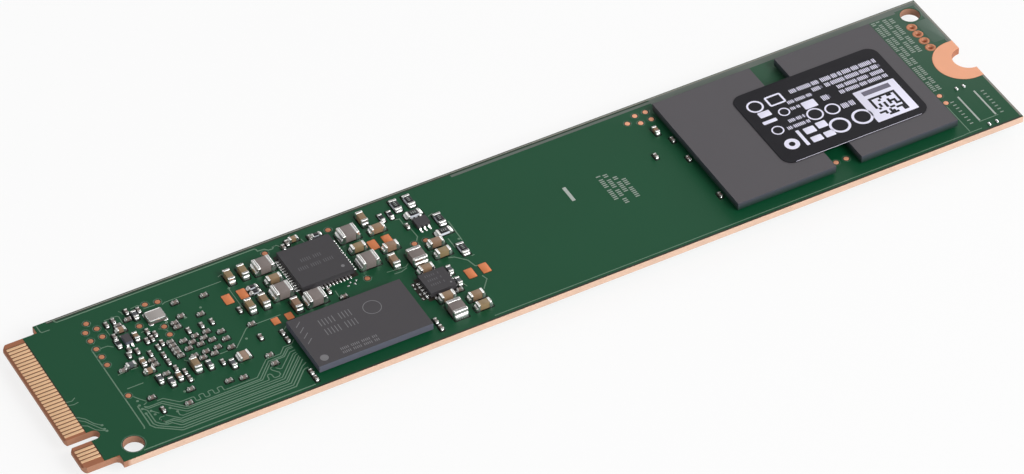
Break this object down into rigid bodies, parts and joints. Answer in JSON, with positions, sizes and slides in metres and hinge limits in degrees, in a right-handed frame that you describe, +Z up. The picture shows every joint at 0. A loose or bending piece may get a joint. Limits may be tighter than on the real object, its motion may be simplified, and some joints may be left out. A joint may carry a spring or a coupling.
{
  "type": "nvme ssd",
  "caption": "Solid state drive on a long narrow card: keyed contact edge, half-round mounting notch, flash and memory packages, and chip parts on a green circuit board.",
  "frame": {"origin": "centre of the card's outline, on the plane of the lower packages that it lies on", "axes": "+X along the card from the contact edge to the mounting notch, +Z up out of the side that carries the label"},
  "size_m": [0.11, 0.022, 0.0031],
  "materials": {
    "laminate": "bare glass laminate, satin",
    "solder_mask": "dark green coating, semi-gloss",
    "gold": "thin gold plating, satin",
    "copper": "bare copper with a clear protective finish",
    "tin": "bright tin plating",
    "solder": "solder, satin",
    "mould": "moulded epoxy, matt grey",
    "chip_mould": "moulded epoxy, matt black",
    "ferrite": "fired ferrite, matt",
    "dielectric": "fired ceramic, tan",
    "alumina": "white fired alumina",
    "resistor_coat": "black glass coat",
    "crystal_metal": "satin metal lid",
    "crystal_ceramic": "fired ceramic base",
    "holdup_mould": "moulded epoxy, matt",
    "label_film": "dark polyester film, satin"
  },
  "bodies": {
    "root": {"board": "laminate", "solder_mask_upper": "solder_mask", "solder_mask_lower": "solder_mask", "contacts_upper": "gold", "contacts_lower": "gold", "notch_lands": "copper", "ring_pads": "copper", "test_points": "copper", "spare_pads": "copper", "flash_upper_inner": "mould", "flash_upper_outer": "mould", "flash_lower_inner": "mould", "flash_lower_outer": "mould", "flash_balls_upper": "solder", "flash_balls_lower": "solder", "memory_package": "mould", "memory_balls": "solder", "controller_package": "mould", "controller_balls": "solder", "power_chip": "chip_mould", "power_chip_leads": "tin", "power_chip_pad": "tin", "switch_chip": "chip_mould", "switch_chip_leads": "tin", "regulator_chip": "chip_mould", "regulator_legs": "tin", "logic_chip": "chip_mould", "logic_legs": "tin", "crystal_base": "crystal_ceramic", "crystal_lid": "crystal_metal", "inductor_cores": "ferrite", "inductor_ends": "tin", "capacitor_bodies_large": "dielectric", "capacitor_ends_large": "tin", "capacitor_bodies_medium": "dielectric", "capacitor_ends_medium": "tin", "capacitors_small": "dielectric", "resistor_cores": "alumina", "resistor_coats": "resistor_coat", "resistor_ends": "tin", "small_resistor_bodies": "resistor_coat", "small_resistor_ends": "tin", "filter_body": "ferrite", "filter_ends": "tin", "holdup_capacitors": "holdup_mould", "holdup_feet": "tin", "lower_capacitor_bodies": "dielectric", "lower_capacitor_ends": "tin", "label": "label_film"}
  },
  "joints": []
}
